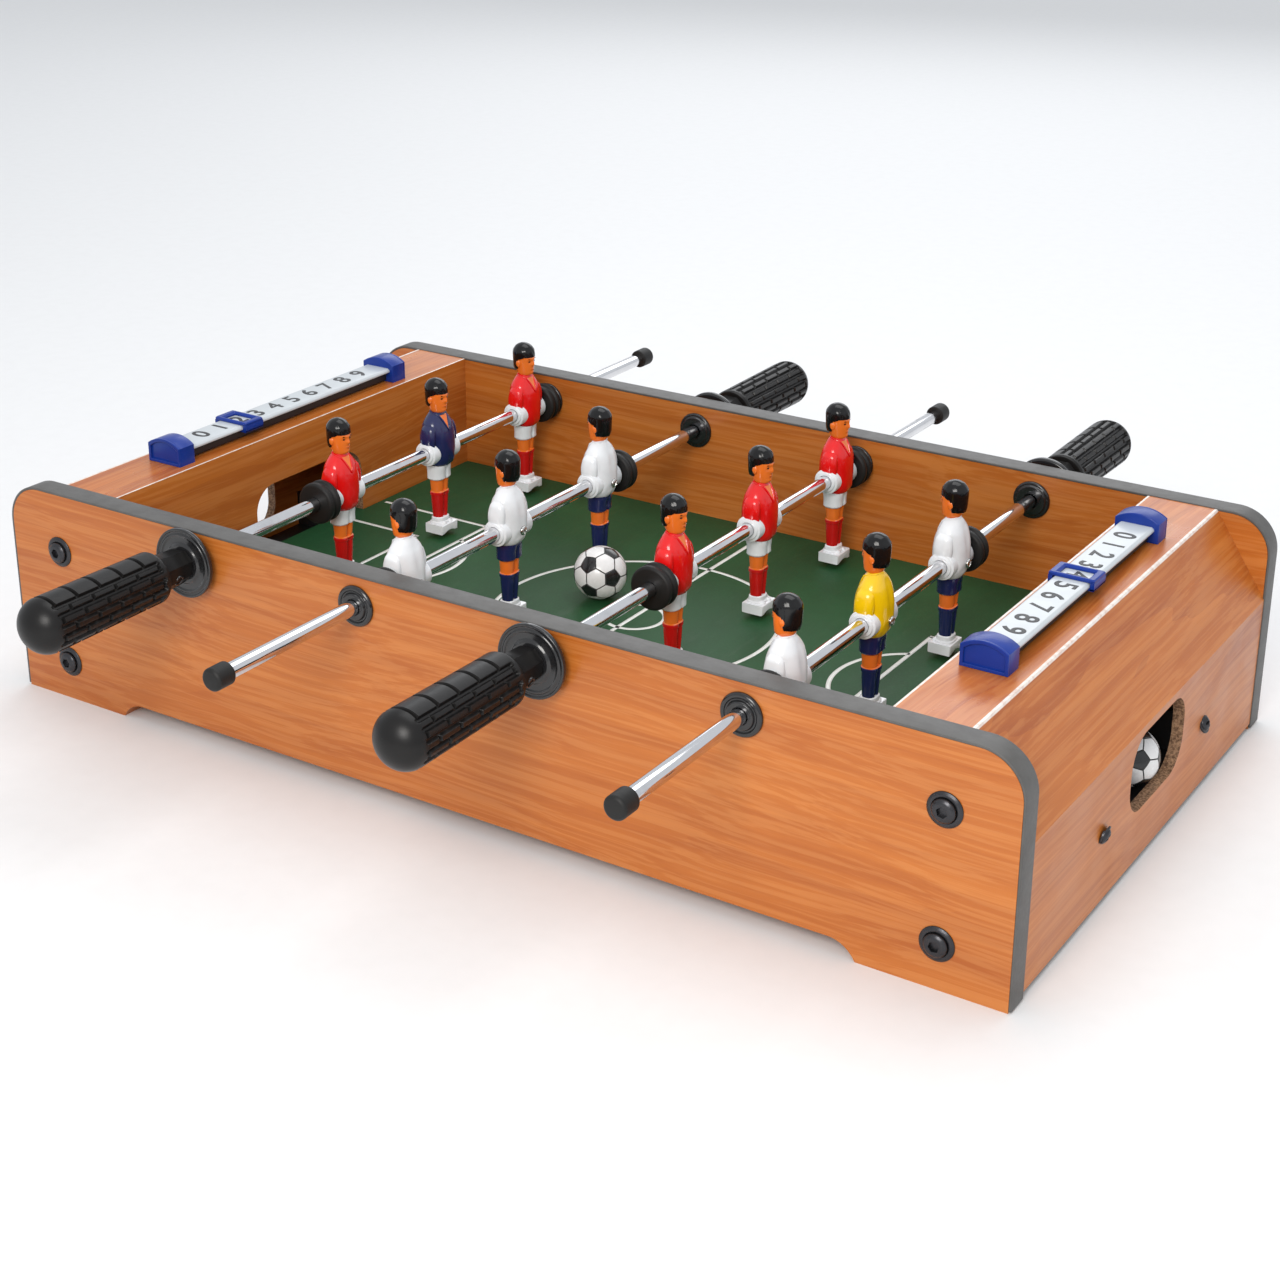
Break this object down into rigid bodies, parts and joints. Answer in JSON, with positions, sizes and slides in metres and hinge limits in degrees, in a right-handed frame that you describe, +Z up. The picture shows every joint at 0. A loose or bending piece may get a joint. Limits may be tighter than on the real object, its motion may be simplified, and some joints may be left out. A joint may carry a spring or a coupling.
{
  "type": "foosball table",
  "caption": "Tabletop foosball table: wood-print box with rounded sides, green pitch, sliding and spinning rods of moulded players, end goals with ball returns and score rails",
  "frame": {"origin": "Under the middle of the table, on the surface it stands on.", "axes": "X runs from goal to goal, Y runs along the rods with the front side panel at -Y, and Z is up."},
  "size_m": [0.5122, 0.475, 0.127],
  "materials": {
    "wood_print": "satin printed laminate on fibreboard",
    "wood_block": "sawn softwood",
    "pitch_green": "matt green print with white field lines on fibreboard",
    "edge_grey": "extruded edge moulding",
    "tray_black": "moulded plastic",
    "gloss_black": "moulded plastic",
    "grip_black": "textured soft-touch plastic",
    "rubber_black": "moulded rubber",
    "nylon_black": "plain nylon",
    "steel_black": "black oxide",
    "steel_zinc": "zinc plated",
    "chrome": "bright plated tube",
    "white_plastic": "moulded plastic with printed digits",
    "blue_plastic": "moulded plastic",
    "ball_white": "moulded ball with black panels",
    "player_red": "painted moulding",
    "player_white": "painted moulding"
  },
  "bodies": {
    "table": {"side_panel_front": "wood_print", "edge_band_front": "edge_grey", "side_panel_back": "wood_print", "edge_band_back": "edge_grey", "playfield_board": "pitch_green", "goal_wall_left": "wood_print", "ledge_board_left": "wood_print", "slope_board_left": "wood_print", "end_board_left": "wood_print", "ball_tray_left": "tray_black", "goal_wall_right": "wood_print", "ledge_board_right": "wood_print", "slope_board_right": "wood_print", "end_board_right": "wood_print", "ball_tray_right": "tray_black", "end_blocks": "wood_block", "bolt_washers": "steel_black", "panel_bolts": "steel_black", "barrel_nuts": "steel_zinc", "end_board_screws": "steel_black", "score_blocks": "blue_plastic", "score_bars": "white_plastic", "bushing_flanges": "gloss_black", "bushing_nuts": "gloss_black"},
    "score_marker_left": {"score_slider_left": "blue_plastic"},
    "score_marker_right": {"score_slider_right": "blue_plastic"},
    "ball_on_pitch": {"pitch_ball": "ball_white"},
    "ball_in_return": {"return_ball": "ball_white"},
    "rod_1_bearing": {"rod_1_sleeves": "nylon_black"},
    "rod_1": {"rod_1_tube": "chrome", "rod_1_handle": "grip_black", "rod_1_guard": "gloss_black", "rod_1_end_cap": "rubber_black", "rod_1_bumpers": "rubber_black", "rod_1_players": "player_red", "rod_1_screws": "steel_zinc"},
    "rod_2_bearing": {"rod_2_sleeves": "nylon_black"},
    "rod_2": {"rod_2_tube": "chrome", "rod_2_handle": "grip_black", "rod_2_guard": "gloss_black", "rod_2_end_cap": "rubber_black", "rod_2_bumpers": "rubber_black", "rod_2_players": "player_white", "rod_2_screws": "steel_zinc"},
    "rod_3_bearing": {"rod_3_sleeves": "nylon_black"},
    "rod_3": {"rod_3_tube": "chrome", "rod_3_handle": "grip_black", "rod_3_guard": "gloss_black", "rod_3_end_cap": "rubber_black", "rod_3_bumpers": "rubber_black", "rod_3_players": "player_red", "rod_3_screws": "steel_zinc"},
    "rod_4_bearing": {"rod_4_sleeves": "nylon_black"},
    "rod_4": {"rod_4_tube": "chrome", "rod_4_handle": "grip_black", "rod_4_guard": "gloss_black", "rod_4_end_cap": "rubber_black", "rod_4_bumpers": "rubber_black", "rod_4_players": "player_white", "rod_4_screws": "steel_zinc"}
  },
  "joints": [
    {"name": "score_slider_left_slide", "type": "slide", "parent": "table", "child": "score_marker_left", "axis": [0, 1, 0], "range_m": [-0.035, 0.1005]},
    {"name": "score_slider_right_slide", "type": "slide", "parent": "table", "child": "score_marker_right", "axis": [0, 1, 0], "range_m": [-0.0745, 0.0614]},
    {"name": "pitch_ball_lift", "type": "slide", "parent": "table", "child": "ball_on_pitch", "axis": [0, 0, 1], "range_m": [0, 0.11]},
    {"name": "return_ball_out", "type": "slide", "parent": "table", "child": "ball_in_return", "axis": [0.8192, 0, 0.5736], "range_m": [0, 0.06]},
    {"name": "rod_1_spin", "type": "hinge", "parent": "table", "child": "rod_1_bearing", "pos_m": [-0.1395, 0, 0.09], "axis": [0, 1, 0], "continuous": true},
    {"name": "rod_1_slide", "type": "slide", "parent": "rod_1_bearing", "child": "rod_1", "axis": [0, -1, 0], "range_m": [0, 0.068]},
    {"name": "rod_2_spin", "type": "hinge", "parent": "table", "child": "rod_2_bearing", "pos_m": [-0.0465, 0, 0.09], "axis": [0, 1, 0], "continuous": true},
    {"name": "rod_2_slide", "type": "slide", "parent": "rod_2_bearing", "child": "rod_2", "axis": [0, 1, 0], "range_m": [0, 0.068]},
    {"name": "rod_3_spin", "type": "hinge", "parent": "table", "child": "rod_3_bearing", "pos_m": [0.0465, 0, 0.09], "axis": [0, 1, 0], "continuous": true},
    {"name": "rod_3_slide", "type": "slide", "parent": "rod_3_bearing", "child": "rod_3", "axis": [0, -1, 0], "range_m": [0, 0.068]},
    {"name": "rod_4_spin", "type": "hinge", "parent": "table", "child": "rod_4_bearing", "pos_m": [0.1395, 0, 0.09], "axis": [0, 1, 0], "continuous": true},
    {"name": "rod_4_slide", "type": "slide", "parent": "rod_4_bearing", "child": "rod_4", "axis": [0, 1, 0], "range_m": [0, 0.068]}
  ]
}
